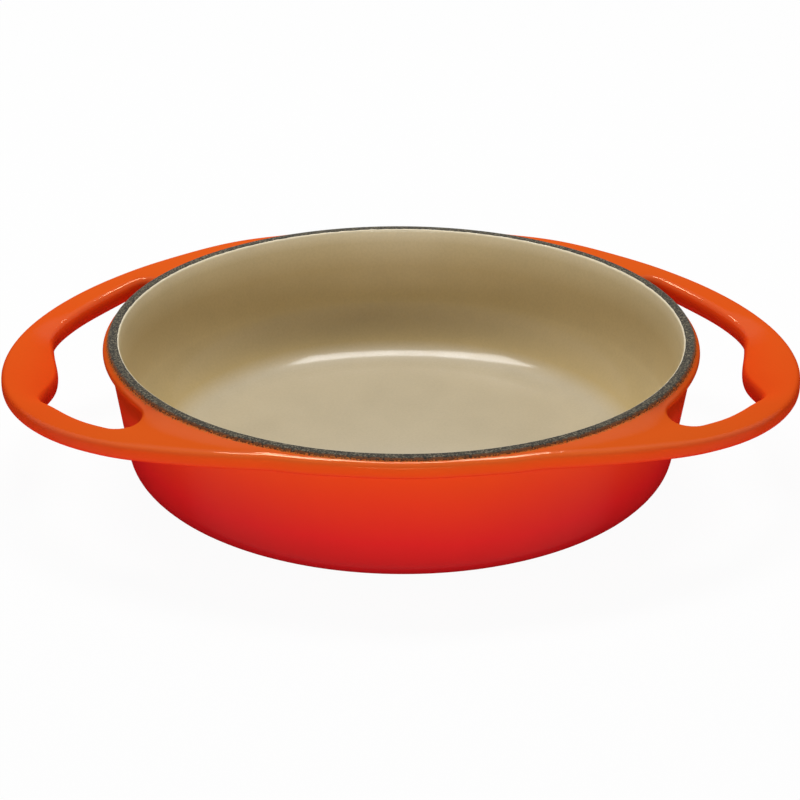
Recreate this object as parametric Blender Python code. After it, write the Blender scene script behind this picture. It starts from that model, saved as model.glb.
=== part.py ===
"""Enamelled cast-iron tarte tatin dish with two loop handles.

One iron casting carries every load. Four thin coats are fired onto it: a glossy coat outside,
a satin coat inside, a bare speckled ground coat on the rim and a coat under the base.

The finished surface is lofted once, a quarter at a time, from one section at each angle round
the dish. Each coat is a patch of that surface, thickened inwards. The casting is the whole
surface, set back by the coat and the fit gap, so all five pieces follow the same dimensions.

Units are metres. The origin is under the middle of the base, +X runs along the handles.
"""

import math

import bmesh
import bpy

MM = 0.001

# Rim and bowl
RIM_HEIGHT = 63.5 * MM
RIM_INNER_RADIUS = 122.8 * MM
RIM_WIDTH = 5.0 * MM
RIM_OUTER_RADIUS = RIM_INNER_RADIUS + RIM_WIDTH
RIM_CORNER = 1.3 * MM
WALL_LEAN = math.radians(9.1)
WALL_THICKNESS = 5.2 * MM
BEAD_RADIUS = 2.4 * MM
BEAD_OVERHANG = 2.2 * MM
BEAD_OUTER_RADIUS = RIM_OUTER_RADIUS + BEAD_OVERHANG
BEAD_DROP = 4.8 * MM
FLOOR_THICKNESS = 5.2 * MM
FLOOR_FILLET = 30.0 * MM
FLOOR_FILLET_STEPS = 6

# Underside
FOOT_OUTER_RADIUS = 98.0 * MM
FOOT_WIDTH = 8.0 * MM
FOOT_HEIGHT = 1.2 * MM
BOTTOM_ROUNDING = 12.0 * MM

# Flange and loop handles, one plate round the rim
LIP_OVERHANG = 3.2 * MM
LIP_RADIUS = RIM_OUTER_RADIUS + LIP_OVERHANG
HANDLE_REACH = 174.5 * MM
HANDLE_BLEND_ANGLE = math.radians(66.0)
HANDLE_BLEND_POWER = 1.25
PLATE_DROP = 1.3 * MM
PLATE_SLOPE = math.radians(7.03)
PLATE_BEND_START = 48.0 * MM
PLATE_BEND_LENGTH = 40.0 * MM
PLATE_EDGE_THICKNESS = 7.4 * MM
PLATE_INNER_THICKNESS = 8.8 * MM
EDGE_ROUNDING = 2.5 * MM
RIM_FILLET = 9.0 * MM
UNDER_FILLET = 2.6 * MM

# Finger holes: a slim arm on each side of a wide grip that curls down towards the fingers
ARM_WIDTH = 15.3 * MM
ARM_TILT_DROP = 1.2 * MM
GRIP_WIDTH = 24.1 * MM
GRIP_HALF_ANGLE = math.radians(12.6)
GRIP_DROOP = 6.6 * MM
GRIP_DROOP_ANGLE = math.radians(19.5)
CORNER_RELIEF = 1.4 * MM
CORNER_ANGLE = math.radians(13.6)
CORNER_SPREAD = math.radians(5.0)
HOLE_EDGE_THICKNESS = 9.5 * MM
HOLE_EDGE_FADE = math.radians(9.0)
HOLE_EDGE_ROUNDING = 3.5 * MM
GRIP_EDGE_ROUNDING = 2.0 * MM
NOTCH_ANGLE = math.radians(31.8)

# Coats
COAT = 0.45 * MM
FIT_GAP = 0.3 * MM
SEAM = 0.35 * MM

# Where the sections lie: shares of the grip, of the arm beside it and of the plate's width
GRIP_SHARES = [0.0, 0.3, 0.6, 0.85, 1.0]
ARM_SHARES = [0.12, 0.35, 0.67, 1.0]
FLANGE_STEPS = 8
PLATE_SHARES = [0.1, 0.32, 0.54, 0.75]
MIDDLE_SHARE = 0.91
MIDDLE_BOW = 0.2
NOTCH_POINTS = len(PLATE_SHARES)
HOLE_ROWS = 6
BEAD_ANGLES = [45.0, 20.0, -5.0, -30.0, -55.0]
BOTTOM_STEPS = 5
BOTTOM_BOW = 0.56

PATCHES = ["seam", "interior", "rim", "exterior", "base"]


def turned(angle, radius, height):
    """A point at an angle round the dish."""
    return (radius * math.cos(angle), radius * math.sin(angle), height)


def blend(a, b, share):
    """The point a share of the way from a to b."""
    return tuple(p + (q - p) * share for p, q in zip(a, b))


def arc(centre, radius, start, end, steps):
    """Section points (radius, height) along an arc; angles in degrees, 0 pointing outwards."""
    points = []
    for i in range(steps + 1):
        a = math.radians(start + (end - start) * i / steps)
        points.append((centre[0] + radius * math.cos(a), centre[1] + radius * math.sin(a)))
    return points


def wall_inner(height):
    """Radius of the wall's inner side."""
    return RIM_INNER_RADIUS - (RIM_HEIGHT - RIM_CORNER - height) * math.tan(WALL_LEAN)


def wall_outer(height):
    """Radius of the wall's outer side."""
    return wall_inner(height) + WALL_THICKNESS / math.cos(WALL_LEAN)


def lobe(share):
    """A smooth bump: one at 0, falling to nothing at -1 and 1."""
    return max(1.0 - share * share, 0.0) ** 2


def outline_radius(angle):
    """The plate's outer edge in plan: a round lip that swells into the handles."""
    if angle >= HANDLE_BLEND_ANGLE:
        return LIP_RADIUS
    swell = math.cos(0.5 * math.pi * angle / HANDLE_BLEND_ANGLE) ** HANDLE_BLEND_POWER
    return LIP_RADIUS + (HANDLE_REACH - LIP_RADIUS) * swell


def hole_radius(angle):
    """The finger hole's outboard edge in plan: a slim arm that widens into the grip."""
    width = ARM_WIDTH + (GRIP_WIDTH - ARM_WIDTH) * lobe(angle / GRIP_HALF_ANGLE)
    width -= CORNER_RELIEF * lobe((angle - CORNER_ANGLE) / CORNER_SPREAD)
    return outline_radius(angle) - width


def notch_radius():
    """Radius of the finger hole's rounded end, which spans from the bead to the arm."""
    return 0.5 * (hole_radius(NOTCH_ANGLE) - BEAD_OUTER_RADIUS)


def notch_edge_angle():
    """Angle of the first full section, just past the hole's rounded end."""
    reach = notch_radius() + HOLE_EDGE_ROUNDING
    return NOTCH_ANGLE + reach / (BEAD_OUTER_RADIUS + notch_radius())


def plate_plane(x):
    """Height of the plate's top: level beside the bowl, a gentle bend, then a straight fall."""
    past = max(abs(x) - PLATE_BEND_START, 0.0)
    in_bend = min(past, PLATE_BEND_LENGTH)
    fall = 0.5 * in_bend * in_bend / PLATE_BEND_LENGTH + (past - in_bend)
    return RIM_HEIGHT - PLATE_DROP - math.tan(PLATE_SLOPE) * fall


def plate_start():
    """Section point (radius, height) where the outside coat starts, below the rim's corner."""
    return (RIM_OUTER_RADIUS + 0.6 * SEAM, RIM_HEIGHT - RIM_CORNER - 0.8 * SEAM)


def plate_top(x, y):
    """Height of the plate's top, with a hollow fillet where it rises to the rim."""
    start_radius, start_height = plate_start()
    plane = plate_plane(x)
    share = 1.0 - (math.hypot(x, y) - start_radius) / RIM_FILLET
    if share <= 0.0:
        return plane
    return plane + (start_height - plane) * min(share, 1.0) ** 2


def plate_bottom(x, y):
    """Height of the plate's underside; the plate is thicker away from its outer edge."""
    inset = outline_radius(abs(math.atan2(y, x))) - math.hypot(x, y)
    share = min(max(inset / ARM_WIDTH, 0.0), 1.0)
    thickness = PLATE_EDGE_THICKNESS + (PLATE_INNER_THICKNESS - PLATE_EDGE_THICKNESS) * share
    return plate_plane(x) - thickness


def plate_foot(angle):
    """Height where the plate's underside meets the wall, and the fillet that fits there."""
    x, y, _ = turned(angle, RIM_OUTER_RADIUS, 0.0)
    height = plate_bottom(x, y)
    overhang = outline_radius(angle) - EDGE_ROUNDING - wall_outer(height)
    return height, min(UNDER_FILLET, 0.6 * overhang)


def interior_section():
    """Section of the inside coat, from the floor's edge up to the rim's inner corner."""
    floor = FOOT_HEIGHT + FLOOR_THICKNESS
    end_height = floor + FLOOR_FILLET * (1.0 - math.sin(WALL_LEAN))
    centre = (wall_inner(end_height) - FLOOR_FILLET * math.cos(WALL_LEAN), floor + FLOOR_FILLET)
    points = arc(centre, FLOOR_FILLET, -90.0, -math.degrees(WALL_LEAN), FLOOR_FILLET_STEPS)
    top = RIM_HEIGHT - RIM_CORNER - SEAM
    points.append((wall_inner(top), top))
    return points


def rim_section():
    """Section of the rim: a flat top between two rounded corners."""
    height = RIM_HEIGHT - RIM_CORNER
    points = arc((RIM_INNER_RADIUS + RIM_CORNER, height), RIM_CORNER, 180.0, 90.0, 2)
    points += arc((RIM_OUTER_RADIUS - RIM_CORNER, height), RIM_CORNER, 90.0, 0.0, 2)
    return points


def bottom_section():
    """Section from the wall round the bottom to the foot: a curve drawn towards the corner."""
    start = (wall_outer(BOTTOM_ROUNDING), BOTTOM_ROUNDING)
    corner = (wall_outer(0.0), 0.0)
    end = (FOOT_OUTER_RADIUS + SEAM, 0.0)
    pulls = [start, blend(start, corner, BOTTOM_BOW), blend(end, corner, BOTTOM_BOW), end]
    points = []
    for i in range(BOTTOM_STEPS + 1):
        t = i / BOTTOM_STEPS
        weights = [(1 - t) ** 3, 3 * (1 - t) ** 2 * t, 3 * (1 - t) * t * t, t ** 3]
        radius = sum(weight * pull[0] for weight, pull in zip(weights, pulls))
        height = sum(weight * pull[1] for weight, pull in zip(weights, pulls))
        points.append((radius, height))
    return points


def base_section():
    """Section of the base coat: the foot ring's flat, then the step up to the recess."""
    inner = FOOT_OUTER_RADIUS - FOOT_WIDTH
    return [(FOOT_OUTER_RADIUS, 0.0), (inner, 0.0), (inner - FOOT_HEIGHT, 0.35 * FOOT_HEIGHT),
            (inner - 2.0 * FOOT_HEIGHT, FOOT_HEIGHT)]


def bead_section(angle):
    """Section of the bowl's side inside a finger hole: the bead, then the wall below it."""
    centre = (BEAD_OUTER_RADIUS - BEAD_RADIUS, RIM_HEIGHT - BEAD_DROP)
    points = []
    for degrees in BEAD_ANGLES:
        points += arc(centre, BEAD_RADIUS, degrees, degrees, 1)[:1]
    below = centre[1] - 1.8 * BEAD_RADIUS
    foot = plate_foot(angle)[0]
    return points + [(wall_outer(below), below), (wall_outer(foot), foot)]


def grip_droop(angle):
    """How much of the grip's downward curl there is at an angle."""
    return lobe(angle / GRIP_DROOP_ANGLE)


def nose_point(edge, normal, row):
    """A point of a hole's rounded edge: row 0 is on the plate's top, the last row beneath it."""
    a = math.pi * row / HOLE_ROWS
    angle = abs(math.atan2(edge[1], edge[0]))
    droop = grip_droop(angle)
    rounding = HOLE_EDGE_ROUNDING + (GRIP_EDGE_ROUNDING - HOLE_EDGE_ROUNDING) * droop
    fade = min(max((notch_edge_angle() - angle) / HOLE_EDGE_FADE, 0.0), 1.0)
    thickness = PLATE_INNER_THICKNESS + (HOLE_EDGE_THICKNESS - PLATE_INNER_THICKNESS) * fade
    drop = ARM_TILT_DROP * fade + GRIP_DROOP * droop
    top = plate_top(edge[0], edge[1]) - drop
    bottom = plate_plane(edge[0]) - drop - thickness
    height = 0.5 * (top + bottom) + 0.5 * (top - bottom) * math.cos(a)
    inset = rounding * (1.0 - math.sin(a))
    return (edge[0] + normal[0] * inset, edge[1] + normal[1] * inset, height)


def edge_normal(angle):
    """Unit normal of the hole's outboard edge in plan, pointing into the arm."""
    step = math.radians(0.5)
    before = turned(angle - step, hole_radius(abs(angle - step)), 0.0)
    after = turned(angle + step, hole_radius(abs(angle + step)), 0.0)
    dx = after[0] - before[0]
    dy = after[1] - before[1]
    length = math.hypot(dx, dy)
    return (dy / length, -dx / length)


def outer_edge(angle):
    """The plate's rounded outer edge, from its top to its underside."""
    radius = outline_radius(angle)
    x, y, _ = turned(angle, radius, 0.0)
    inner = radius - EDGE_ROUNDING
    upper = arc((inner, plate_plane(x) - EDGE_ROUNDING), EDGE_ROUNDING, 90.0, 0.0, 2)
    lower = arc((inner, plate_bottom(x, y) + EDGE_ROUNDING), EDGE_ROUNDING, 0.0, -90.0, 2)
    return [turned(angle, r, z) for r, z in upper + lower]


def plate_middle(inner, outer, lift):
    """A point halfway across the plate between two others, lifted off their straight line."""
    x, y, z = blend(inner, outer, 0.5)
    return (x, y, z + lift)


def bowl_rows_above(angle):
    """Rows from the floor's middle to the start of the outside coat, with their patches."""
    rows = [("interior", (0.0, 0.0, FOOT_HEIGHT + FLOOR_THICKNESS))]
    rows += [("interior", turned(angle, r, z)) for r, z in interior_section()]
    rows += [("seam", turned(angle, *rim_section()[0]))]
    rows += [("rim", turned(angle, r, z)) for r, z in rim_section()[1:]]
    rows += [("seam", turned(angle, *plate_start()))]
    return rows


def bowl_rows_below(angle, fillet_share):
    """Rows from the plate's underside, down the wall, to the middle of the base."""
    height, fillet = plate_foot(angle)
    middle = height - 0.3 * fillet
    low = height - max(fillet, 0.4 * UNDER_FILLET)
    section = [(wall_outer(height) + fillet_share * fillet, height),
               (wall_outer(middle) + 0.3 * fillet_share * fillet, middle),
               (wall_outer(low), low)]
    rows = [("exterior", turned(angle, r, z)) for r, z in section + bottom_section()]
    rows += [("seam", turned(angle, *base_section()[0]))]
    rows += [("base", turned(angle, r, z)) for r, z in base_section()[1:]]
    rows += [("base", (0.0, 0.0, FOOT_HEIGHT))]
    return rows


def hole_column_bowl(angle):
    """One section of the bowl's side of a finger hole."""
    bead = [("exterior", turned(angle, r, z)) for r, z in bead_section(angle)]
    return bowl_rows_above(angle) + bead + bowl_rows_below(angle, 0.0)[1:]


def hole_column_arm(angle):
    """One section of a handle's arm, round from the hole's top edge and back up the hole."""
    edge = turned(angle, hole_radius(angle), 0.0)
    nose = [nose_point(edge, edge_normal(angle), row) for row in range(HOLE_ROWS + 1)]
    outside = outer_edge(angle)
    lift = MIDDLE_BOW * GRIP_DROOP * grip_droop(angle)
    above = plate_middle(nose[0], outside[0], lift)
    below = plate_middle(nose[-1], outside[-1], 0.0)
    return nose[:1] + [above] + outside + [below] + nose[:0:-1]


def flange_column(angle):
    """One section of the plate away from the holes: its top, outer edge and underside."""
    outside = outer_edge(angle)
    start = plate_start()[0]
    reach = math.hypot(outside[0][0], outside[0][1])
    shares = PLATE_SHARES + [MIDDLE_SHARE]
    top = []
    for share in shares:
        x, y, _ = turned(angle, start + (reach - start) * share, 0.0)
        top.append((x, y, plate_top(x, y)))
    height, fillet = plate_foot(angle)
    inner = wall_outer(height) + fillet
    bottom = []
    for share in shares[:0:-1]:
        x, y, _ = turned(angle, inner + (reach - inner) * share, 0.0)
        bottom.append((x, y, plate_bottom(x, y)))
    bottom.append(turned(angle, inner, height))
    return top, outside, bottom


def notch_columns():
    """Rounded end of a finger hole: one nose from its top to its underside at each point."""
    radius = notch_radius()
    middle = turned(NOTCH_ANGLE, BEAD_OUTER_RADIUS + radius, 0.0)
    across = (math.cos(NOTCH_ANGLE), math.sin(NOTCH_ANGLE))
    along = (-across[1], across[0])
    noses = []
    for i in range(1, NOTCH_POINTS + 1):
        swing = math.pi * (i / (NOTCH_POINTS + 1.0) - 0.5)
        normal = (across[0] * math.sin(swing) + along[0] * math.cos(swing),
                  across[1] * math.sin(swing) + along[1] * math.cos(swing))
        edge = (middle[0] + normal[0] * radius, middle[1] + normal[1] * radius)
        angle = math.atan2(edge[1], edge[0])
        bead = [turned(angle, r, z) for r, z in bead_section(angle)]
        toward_wall = max(0.0, -math.sin(swing)) ** 2
        nose = []
        for row in range(HOLE_ROWS + 1):
            nose.append(blend(nose_point(edge, normal, row), bead[row], toward_wall))
        noses.append(nose)
    return noses


class Skin:
    """The finished surface of one quarter; each face's material index names its patch."""

    def __init__(self):
        self.mesh = bmesh.new()
        self.found = {}

    def vertex(self, point):
        """The vertex at a point, made once."""
        key = tuple(round(value / (0.01 * MM)) for value in point)
        if key not in self.found:
            self.found[key] = self.mesh.verts.new(point)
        return self.found[key]

    def loft(self, first, second, patches):
        """Faces between two neighbouring sections, the second further round the dish."""
        for row in range(len(first) - 1):
            verts = []
            for corner in (first[row], first[row + 1], second[row + 1], second[row]):
                vert = self.vertex(corner)
                if vert not in verts:
                    verts.append(vert)
            if len(verts) > 2:
                face = self.mesh.faces.new(verts)
                face.material_index = PATCHES.index(patches[row])
                face.smooth = True


def loft_hole(skin):
    """The bowl's side and the arm beside a finger hole, from its middle to its rounded end."""
    angles = [GRIP_HALF_ANGLE * share for share in GRIP_SHARES]
    angles += [GRIP_HALF_ANGLE + (NOTCH_ANGLE - GRIP_HALF_ANGLE) * share for share in ARM_SHARES]
    columns = [hole_column_bowl(angle) for angle in angles]
    patches = [patch for patch, _ in columns[0]]
    sides = [[point for _, point in column] for column in columns]
    for first, second in zip(sides, sides[1:]):
        skin.loft(first, second, patches[1:])
    arms = [hole_column_arm(angle) for angle in angles]
    for first, second in zip(arms, arms[1:]):
        skin.loft(first + first[:1], second + second[:1], ["exterior"] * len(first))
    return sides[-1], arms[-1]


def loft_flange(skin, noses):
    """The full sections, from the finger hole's end to the middle of the rim's side."""
    columns = []
    first_angle = notch_edge_angle()
    for step in range(FLANGE_STEPS + 1):
        angle = first_angle + (0.5 * math.pi - first_angle) * step / FLANGE_STEPS
        above = bowl_rows_above(angle)
        top, outside, bottom = flange_column(angle)
        below = bowl_rows_below(angle, 1.0)[1:]
        if step == 0:
            last = noses[-1]
            top = [nose[0] for nose in noses] + [plate_middle(last[0], outside[0], 0.0)]
            bottom = [plate_middle(last[-1], outside[-1], 0.0)] + [nose[-1] for nose in reversed(noses)]
            below = bowl_rows_below(angle, 0.5)[1:]
        plate = [("exterior", point) for point in top + outside + bottom]
        columns.append(above + plate + below)
    patches = [patch for patch, _ in columns[0]]
    sections = [[point for _, point in column] for column in columns]
    for first, second in zip(sections, sections[1:]):
        skin.loft(first, second, patches[1:])
    return sections[0], patches


def close_hole_end(skin, side, arm, full, patches, noses):
    """Joins the last sections beside the hole to the first full section, round the notch."""
    start = len(bowl_rows_above(NOTCH_ANGLE))
    end = len(full) - len(bowl_rows_below(NOTCH_ANGLE, 0.0))
    skin.loft(side[:start + 1], full[:start + 1], patches[1:])
    skin.loft(side[start + HOLE_ROWS:], full[end:], patches[end + 1:])

    crown = full[start + NOTCH_POINTS - 1:end - NOTCH_POINTS + 2]
    skin.loft(arm[:len(crown)], crown, ["exterior"] * len(crown))

    arm_nose = arm[:1] + arm[:len(crown) - 2:-1]
    path = [side[start:start + HOLE_ROWS + 1]] + noses + [arm_nose]
    for first, second in zip(path, path[1:]):
        skin.loft(first, second, ["exterior"] * HOLE_ROWS)


def quarter_skin():
    """The finished surface from the handle's middle (+X) to the middle of the rim (+Y)."""
    skin = Skin()
    noses = notch_columns()
    side, arm = loft_hole(skin)
    full, patches = loft_flange(skin, noses)
    close_hole_end(skin, side, arm, full, patches, noses)
    return skin.mesh


def material(name, colour, roughness, metallic, gloss_coat=0.0):
    """A plain Principled finish."""
    finish = bpy.data.materials.new(name)
    finish.use_nodes = True
    shader = finish.node_tree.nodes["Principled BSDF"]
    shader.inputs["Base Color"].default_value = (*colour, 1.0)
    shader.inputs["Roughness"].default_value = roughness
    shader.inputs["Metallic"].default_value = metallic
    shader.inputs["Coat Weight"].default_value = gloss_coat
    return finish


def place(name, mesh, finish):
    """A named object with the mesh of one quarter, mirrored to the whole dish."""
    data = bpy.data.meshes.new(name)
    mesh.to_mesh(data)
    data.materials.append(finish)
    for face in data.polygons:
        face.material_index = 0
    piece = bpy.data.objects.new(name, data)
    bpy.context.scene.collection.objects.link(piece)
    mirror = piece.modifiers.new("four_quarters", 'MIRROR')
    mirror.use_axis = (True, True, False)
    mirror.merge_threshold = 0.01 * MM
    return piece


def coat(name, skin, patch, finish):
    """One fired coat: its patch of the finished surface, thickened inwards."""
    mesh = skin.copy()
    others = [face for face in mesh.faces if PATCHES[face.material_index] != patch]
    bmesh.ops.delete(mesh, geom=others, context='FACES')
    piece = place(name, mesh, finish)
    mesh.free()
    thicken = piece.modifiers.new("coat_thickness", 'SOLIDIFY')
    thicken.thickness = COAT
    thicken.offset = -1.0
    return piece


def casting(name, skin, finish):
    """The iron: the whole finished surface, set back by the coat and the fit gap."""
    piece = place(name, skin, finish)
    set_back = piece.modifiers.new("under_the_coats", 'DISPLACE')
    set_back.mid_level = 0.0
    set_back.strength = -(COAT + FIT_GAP)
    return piece


def main():
    """Clears the scene and builds the five pieces under one empty."""
    for leftover in list(bpy.data.objects):
        bpy.data.objects.remove(leftover)
    dish = bpy.data.objects.new("dish", None)
    bpy.context.scene.collection.objects.link(dish)

    iron = material("cast_iron", (0.09, 0.09, 0.095), 0.6, 1.0)
    flame = material("flame_enamel", (0.78, 0.08, 0.015), 0.12, 0.0, 1.0)
    sand = material("sand_enamel", (0.53, 0.44, 0.28), 0.3, 0.0, 0.3)
    ground = material("ground_coat", (0.07, 0.068, 0.05), 0.65, 0.0)
    underside = material("base_coat", (0.45, 0.03, 0.01), 0.25, 0.0, 0.5)

    skin = quarter_skin()
    pieces = [
        casting("iron_casting", skin, iron),
        coat("exterior_enamel", skin, "exterior", flame),
        coat("interior_enamel", skin, "interior", sand),
        coat("rim_ground_coat", skin, "rim", ground),
        coat("base_enamel", skin, "base", underside),
    ]
    skin.free()
    for piece in pieces:
        piece.parent = dish


main()
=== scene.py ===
# %% [markdown]
# # An enamelled tarte tatin dish
# The dish is one heavy iron casting with coats of glass enamel fired onto it. The measured model,
# with its five pieces at their true size, is loaded first and never moved. This lesson gives each
# coat a finer skin over that model, then a finish, a studio and a camera.

# %% Load the measured model
import math

import bmesh
import bpy
from mathutils import Matrix, Vector, noise


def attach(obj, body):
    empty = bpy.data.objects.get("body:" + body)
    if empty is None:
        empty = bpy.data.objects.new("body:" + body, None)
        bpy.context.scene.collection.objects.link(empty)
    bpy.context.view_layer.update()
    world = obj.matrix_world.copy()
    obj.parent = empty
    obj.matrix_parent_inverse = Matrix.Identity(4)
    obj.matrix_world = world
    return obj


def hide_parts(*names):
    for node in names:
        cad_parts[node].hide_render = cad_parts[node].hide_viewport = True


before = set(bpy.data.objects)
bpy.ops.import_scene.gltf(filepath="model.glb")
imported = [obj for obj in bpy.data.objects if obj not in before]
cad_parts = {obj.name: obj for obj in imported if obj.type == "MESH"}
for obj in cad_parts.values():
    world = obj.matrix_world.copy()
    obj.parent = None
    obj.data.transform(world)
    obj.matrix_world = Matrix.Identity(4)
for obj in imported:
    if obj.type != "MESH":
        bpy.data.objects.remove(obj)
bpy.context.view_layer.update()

MM = 0.001
print("pieces in the model:", ", ".join(sorted(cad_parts)))

# %% [markdown]
# ## Camera
# The picture is taken from about 1.3 m away and 24.5 degrees above the table, through a long lens,
# so the round rim keeps its shape. The dish is turned a little to the camera, and the camera is
# tipped by about a quarter of a degree. A camera could track the dish, but a matrix holds the tip
# as well: its three columns are the camera's right, up and back.

# %% Place the camera
CAMERA_DISTANCE = 1.3
CAMERA_RISE = 0.428
CAMERA_TURN = math.radians(-1.29)
CAMERA_ROLL = 0.005
CAMERA_RIGHT = -0.49 * MM
CAMERA_UP = -1.1 * MM
LENS_MM = 132.8
SENSOR_MM = 36.0
RIM_HEIGHT = 63.5 * MM

right = Vector((math.cos(CAMERA_TURN), math.sin(CAMERA_TURN), 0.0))
level_back = Vector((math.sin(CAMERA_TURN), -math.cos(CAMERA_TURN), 0.0))
back = level_back * math.cos(CAMERA_RISE) + Vector((0.0, 0.0, math.sin(CAMERA_RISE)))
up = back.cross(right)
place = Vector((0.0, 0.0, 0.5 * RIM_HEIGHT)) + back * CAMERA_DISTANCE
place += right * CAMERA_RIGHT + up * CAMERA_UP
rolled_right = right * math.cos(CAMERA_ROLL) + up * math.sin(CAMERA_ROLL)
rolled_up = up * math.cos(CAMERA_ROLL) - right * math.sin(CAMERA_ROLL)
directions = Matrix((rolled_right, rolled_up, back)).transposed().to_4x4()

camera = bpy.data.objects.new("camera", bpy.data.cameras.new("camera"))
camera.data.lens = LENS_MM
camera.data.sensor_width = SENSOR_MM
camera.matrix_world = Matrix.Translation(place) @ directions
bpy.context.scene.collection.objects.link(camera)
bpy.context.scene.camera = camera
print("camera at", [round(value, 3) for value in place])

# %% [markdown]
# ## The wall
# The wall leans outwards, so that the casting leaves its sand mould, and is equally thick all
# round. Its two sides could be drawn as curves and spun. Here two short rules give the radius of
# each side at any height, and every section that meets the wall asks them.

# %% Rules for the wall
RIM_INNER = 122.8 * MM
RIM_CORNER = 1.3 * MM
WALL_LEAN = math.radians(9.1)
WALL_THICKNESS = 5.2 * MM


def at(angle, radius, height):
    """A point at an angle round the dish."""
    return Vector((radius * math.cos(angle), radius * math.sin(angle), height))


def inner_wall(height):
    """Radius of the wall's inner side."""
    return RIM_INNER - (RIM_HEIGHT - RIM_CORNER - height) * math.tan(WALL_LEAN)


def outer_wall(height):
    """Radius of the wall's outer side."""
    return inner_wall(height) + WALL_THICKNESS / math.cos(WALL_LEAN)


print("the wall stands", round(outer_wall(0.0) / MM, 1), "mm from the middle at the table")

# %% [markdown]
# ## The flange's outline
# Seen from above, the flange is a round lip that swells over a soft shoulder into two handles. The
# edge could be traced with a curve, but the holes and the underside have to know where it is too,
# so it is a rule as well. One quarter is enough, as the dish mirrors onto itself both ways.

# %% Rule for the outline
LIP_REACH = 131.0 * MM
HANDLE_REACH = 174.5 * MM
HANDLE_BLEND = math.radians(66.0)
HANDLE_POWER = 1.25
SHOULDER_REACH = 2.6 * MM
SHOULDER_ANGLE = math.radians(62.0)
SHOULDER_SPREAD = math.radians(18.0)


def lobe(share):
    """A smooth bump: one at 0, falling to nothing at -1 and 1."""
    return max(1.0 - share * share, 0.0) ** 2


def outline(angle):
    """Radius of the flange's outer edge, from the handle's middle (0) to the lip's."""
    reach = LIP_REACH + SHOULDER_REACH * lobe((angle - SHOULDER_ANGLE) / SHOULDER_SPREAD)
    if angle < HANDLE_BLEND:
        swell = math.cos(0.5 * math.pi * angle / HANDLE_BLEND) ** HANDLE_POWER
        reach += (HANDLE_REACH - LIP_REACH) * swell
    return reach


reaches = {degrees: outline(math.radians(degrees)) for degrees in range(0, 91, 15)}
print("edge in mm:", {degrees: round(reach / MM, 1) for degrees, reach in reaches.items()})

# %% [markdown]
# ## The flange's fall
# The flange is level at the lip. Past a shoulder it bends, and then runs straight down into the
# grips. Inwards it rises to the rim in a hollow fillet, because a sharp corner can crack as the
# iron cools. Its heights could be sculpted, but one rule along the handles keeps the top, the
# underside and the edges of the holes together.

# %% Rules for the flange's top
RIM_OUTER = 127.8 * MM
RIM_FILLET = 9.0 * MM
PLATE_DROP = 1.3 * MM
PLATE_SLOPE = math.tan(math.radians(7.03))
BEND_START = 48.0 * MM
BEND_LENGTH = 40.0 * MM
SHOULDER_SAG = 0.45 * MM
SAG_MIDDLE = 58.0 * MM
SAG_SPREAD = 45.0 * MM


def flange_plane(x):
    """Height of the flange's top: level at the lip, a shoulder, a bend, then a straight fall."""
    past = max(abs(x) - BEND_START, 0.0)
    bent = min(past, BEND_LENGTH)
    fall = PLATE_SLOPE * (0.5 * bent * bent / BEND_LENGTH + past - bent)
    sag = SHOULDER_SAG * lobe((abs(x) - SAG_MIDDLE) / SAG_SPREAD)
    return RIM_HEIGHT - PLATE_DROP - fall - sag


def flange_top(point):
    """The flange's top at a place, with the hollow fillet where it rises to the rim."""
    plane = flange_plane(point[0])
    share = 1.0 - (math.hypot(point[0], point[1]) - RIM_OUTER) / RIM_FILLET
    rise = RIM_HEIGHT - RIM_CORNER - plane
    return plane + rise * min(max(share, 0.0), 1.0) ** 2


print("the grips lie", round((RIM_HEIGHT - flange_plane(HANDLE_REACH)) / MM, 1), "mm below the rim")

# %% [markdown]
# ### The underside
# The underside follows the top, and the plate grows a little thicker inwards, where it carries
# more. Offsetting the top by one thickness would be simpler, but the edges in view would then be
# either too heavy or too thin. A small fillet leads into the wall.

# %% Rules for the flange's underside
PLATE_EDGE = 7.4 * MM
PLATE_BODY = 8.8 * MM
ARM_WIDTH = 15.3 * MM
EDGE_ROUND = 2.5 * MM
UNDER_FILLET = 2.6 * MM
OVERHANG_SHARE = 0.6


def flange_underside(point):
    """The flange's underside at a place: it is thicker away from the outer edge."""
    inset = outline(abs(math.atan2(point[1], point[0]))) - math.hypot(point[0], point[1])
    share = min(max(inset / ARM_WIDTH, 0.0), 1.0)
    return flange_plane(point[0]) - PLATE_EDGE - (PLATE_BODY - PLATE_EDGE) * share


def flange_foot(angle):
    """Height where the flange's underside meets the wall, and the fillet that fits there."""
    height = flange_underside(at(angle, RIM_OUTER, 0.0))
    overhang = outline(angle) - EDGE_ROUND - outer_wall(height)
    return height, min(UNDER_FILLET, OVERHANG_SHARE * overhang)


foot, fillet = flange_foot(0.5 * math.pi)
print("under the lip, the flange meets the wall", round(foot / MM, 1), "mm up")
print("in a fillet of", round(fillet / MM, 1), "mm")

# %% [markdown]
# ## The finger holes
# Each handle is a loop: a slim arm from either side that widens into a grip, whose inner half
# curls down towards the fingers. The hole's inner side is the bead under the rim, and its ends are
# half circles. A hole could be punched with a Boolean, but its rounded edge belongs to the
# casting, so the hole is worked out first and the sections are shaped to it.

# %% Rules for the finger hole
BEAD_REACH = 130.0 * MM
GRIP_WIDTH = 24.1 * MM
GRIP_ANGLE = math.radians(12.6)
DROOP_ANGLE = math.radians(19.5)
CORNER_RELIEF = 1.4 * MM
CORNER_ANGLE = math.radians(13.6)
CORNER_SPREAD = math.radians(5.0)
HOLE_ROUND = 3.5 * MM
END_ANGLE = math.radians(31.8)


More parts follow.
